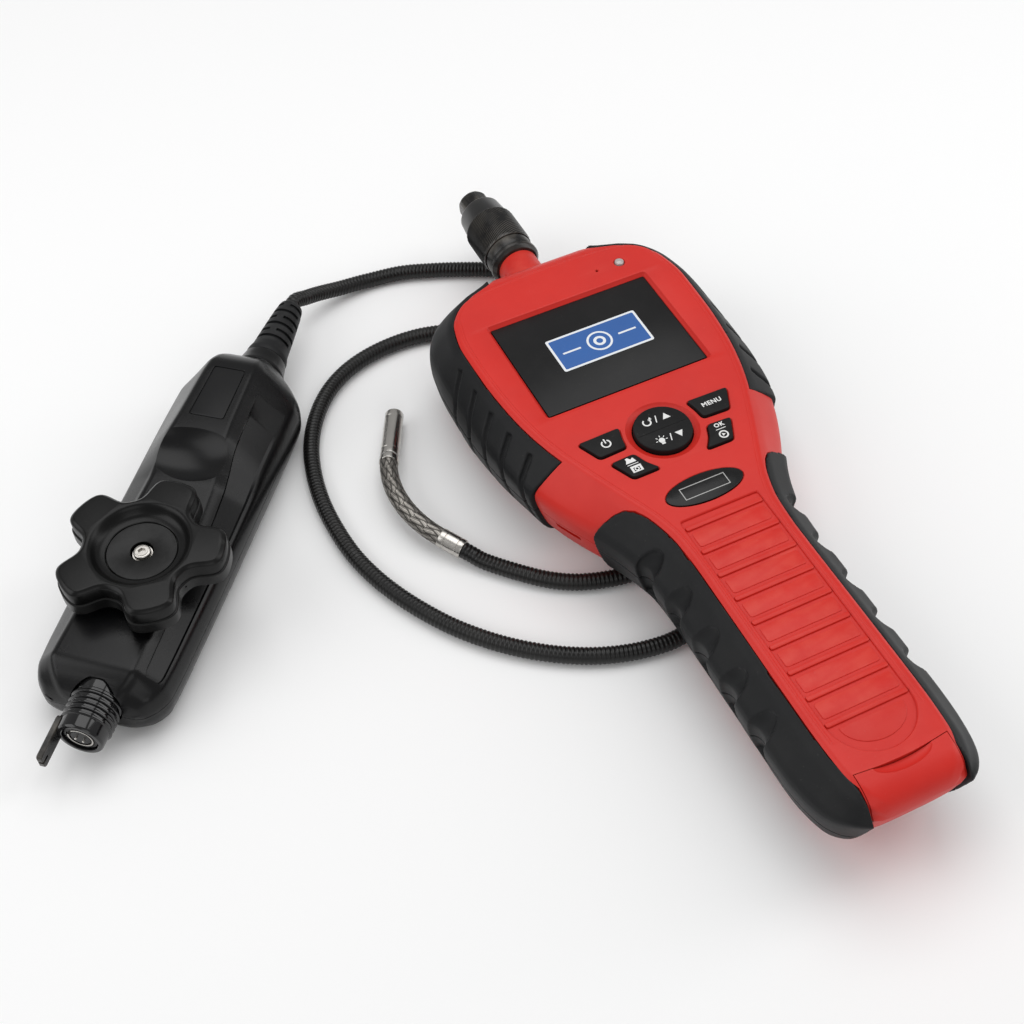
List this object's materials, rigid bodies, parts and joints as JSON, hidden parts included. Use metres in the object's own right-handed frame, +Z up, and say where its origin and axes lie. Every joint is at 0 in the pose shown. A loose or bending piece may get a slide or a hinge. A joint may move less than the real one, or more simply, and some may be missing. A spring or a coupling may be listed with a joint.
{
  "type": "inspection camera",
  "caption": "Articulating inspection camera: handheld colour monitor with rubber grips, lying on the flexible probe of a separate knob-steered grip with a bending camera tip.",
  "frame": {"origin": "centre of the plan box of the handset and the steering grip, at the height of the surface they lie on", "axes": "+Z up, out of the screen; +Y along the handset's long axis towards its probe connector; +X to the right of the screen"},
  "size_m": [0.3238, 0.3572, 0.0505],
  "materials": {
    "red": "satin moulded",
    "rubber": "matt overmoulded",
    "key": "matt",
    "screen": "clear window",
    "cell": "matt",
    "board": "matt",
    "gloss": "polished",
    "led": "clear",
    "steel": "polished",
    "black": "satin",
    "brass": "plain",
    "label": "matt",
    "tube": "ribbed satin",
    "lens": "clear",
    "braid": "woven"
  },
  "bodies": {
    "probe_unit": {"grip_upper_shell": "black", "grip_lower_shell": "black", "grip_label": "label", "plug_body": "gloss", "plug_insert": "black", "plug_key": "black", "relief_seat": "black", "strain_relief": "rubber", "probe_tube": "tube", "ferrule": "steel"},
    "steering": {"steering_knob": "black", "knob_disc": "black", "knob_screw": "steel", "knob_shaft": "steel", "wire_drum": "brass"},
    "link_1": {"braid_link_1": "braid"},
    "link_2": {"braid_link_2": "braid"},
    "link_3": {"braid_link_3": "braid"},
    "link_4": {"braid_link_4": "braid"},
    "link_5": {"braid_link_5": "braid"},
    "link_6": {"braid_link_6": "braid"},
    "tip": {"head_collar": "steel", "camera_head": "steel", "head_lens": "lens"},
    "handset": {"front_shell": "red", "rear_shell": "red", "head_bumper_left_front": "rubber", "head_bumper_left_rear": "rubber", "head_bumper_right_front": "rubber", "head_bumper_right_rear": "rubber", "grip_bumper_left_front": "rubber", "grip_bumper_left_rear": "rubber", "grip_bumper_right_front": "rubber", "grip_bumper_right_rear": "rubber", "screen_lens": "screen", "lcd_panel": "cell", "main_board": "board", "key_pad": "rubber", "badge": "gloss", "status_led": "led", "battery_pack": "cell", "card_slot": "steel", "socket_neck": "red", "socket_collar": "gloss", "socket_barrel": "black", "socket_contacts": "brass"},
    "coupling": {"coupling_ring": "black"},
    "cover": {"battery_cover": "red"},
    "menu_key": {"menu_key": "key"},
    "ok_key": {"ok_key": "key"},
    "power_key": {"power_key": "key"},
    "photo_key": {"photo_key": "key"},
    "rocker_key": {"rocker_key": "key"}
  },
  "joints": [
    {"name": "handset_lift", "type": "slide", "parent": "probe_unit", "child": "handset", "axis": [0, 0, 1], "range_m": [0, 0.08]},
    {"name": "coupling_turn", "type": "hinge", "parent": "handset", "child": "coupling", "pos_m": [0.09862, 0.14862, 0.02848], "axis": [0, 1, 0], "continuous": true},
    {"name": "cover_slide", "type": "slide", "parent": "handset", "child": "cover", "axis": [0, -1, 0], "range_m": [0, 0.03]},
    {"name": "steering_turn", "type": "hinge", "parent": "probe_unit", "child": "steering", "pos_m": [-0.09958, 0.04372, 0.03], "axis": [0, 0, 1], "range_deg": [0, 38]},
    {"name": "menu_press", "type": "slide", "parent": "handset", "child": "menu_key", "axis": [0, 0, -1], "range_m": [0, 0.0009], "stiffness_N_per_m": 900},
    {"name": "ok_press", "type": "slide", "parent": "handset", "child": "ok_key", "axis": [0, 0, -1], "range_m": [0, 0.0009], "stiffness_N_per_m": 900},
    {"name": "power_press", "type": "slide", "parent": "handset", "child": "power_key", "axis": [0, 0, -1], "range_m": [0, 0.0009], "stiffness_N_per_m": 900},
    {"name": "photo_press", "type": "slide", "parent": "handset", "child": "photo_key", "axis": [0, 0, -1], "range_m": [0, 0.0009], "stiffness_N_per_m": 900},
    {"name": "rocker_tilt", "type": "hinge", "parent": "handset", "child": "rocker_key", "pos_m": [0.09862, -0.00028, 0.046], "axis": [1, 0, 0], "range_deg": [-3, 3], "stiffness_Nm_per_rad": 0.8},
    {"name": "tip_bend_1", "type": "hinge", "parent": "probe_unit", "child": "link_1", "pos_m": [0.00992, 0.02462, 0.00746], "axis": [0.2644, -0.0053, 0.9644], "range_deg": [0, 5.64]},
    {"name": "tip_bend_2", "type": "hinge", "parent": "link_1", "child": "link_2", "pos_m": [0.00691, 0.031, 0.00832], "axis": [0.2644, -0.0053, 0.9644], "range_deg": [0, 5.64]},
    {"name": "tip_bend_3", "type": "hinge", "parent": "link_2", "child": "link_3", "pos_m": [0.0049, 0.03778, 0.00891], "axis": [0.2644, -0.0053, 0.9644], "range_deg": [0, 5.64]},
    {"name": "tip_bend_4", "type": "hinge", "parent": "link_3", "child": "link_4", "pos_m": [0.00394, 0.04481, 0.00921], "axis": [0.2644, -0.0053, 0.9644], "range_deg": [0, 5.64]},
    {"name": "tip_bend_5", "type": "hinge", "parent": "link_4", "child": "link_5", "pos_m": [0.00405, 0.05191, 0.00922], "axis": [0.2644, -0.0053, 0.9644], "range_deg": [0, 5.64]},
    {"name": "tip_bend_6", "type": "hinge", "parent": "link_5", "child": "link_6", "pos_m": [0.00523, 0.0589, 0.00893], "axis": [0.2644, -0.0053, 0.9644], "range_deg": [0, 5.64]},
    {"name": "tip_bend_7", "type": "hinge", "parent": "link_6", "child": "tip", "pos_m": [0.00745, 0.06562, 0.00836], "axis": [0.2644, -0.0053, 0.9644], "range_deg": [0, 5.64]}
  ],
  "couplings": [
    {"joint": "tip_bend_1", "follows": "steering_turn", "ratio": 0.1458},
    {"joint": "tip_bend_2", "follows": "steering_turn", "ratio": 0.1458},
    {"joint": "tip_bend_3", "follows": "steering_turn", "ratio": 0.1458},
    {"joint": "tip_bend_4", "follows": "steering_turn", "ratio": 0.1458},
    {"joint": "tip_bend_5", "follows": "steering_turn", "ratio": 0.1458},
    {"joint": "tip_bend_6", "follows": "steering_turn", "ratio": 0.1458},
    {"joint": "tip_bend_7", "follows": "steering_turn", "ratio": 0.1458}
  ]
}
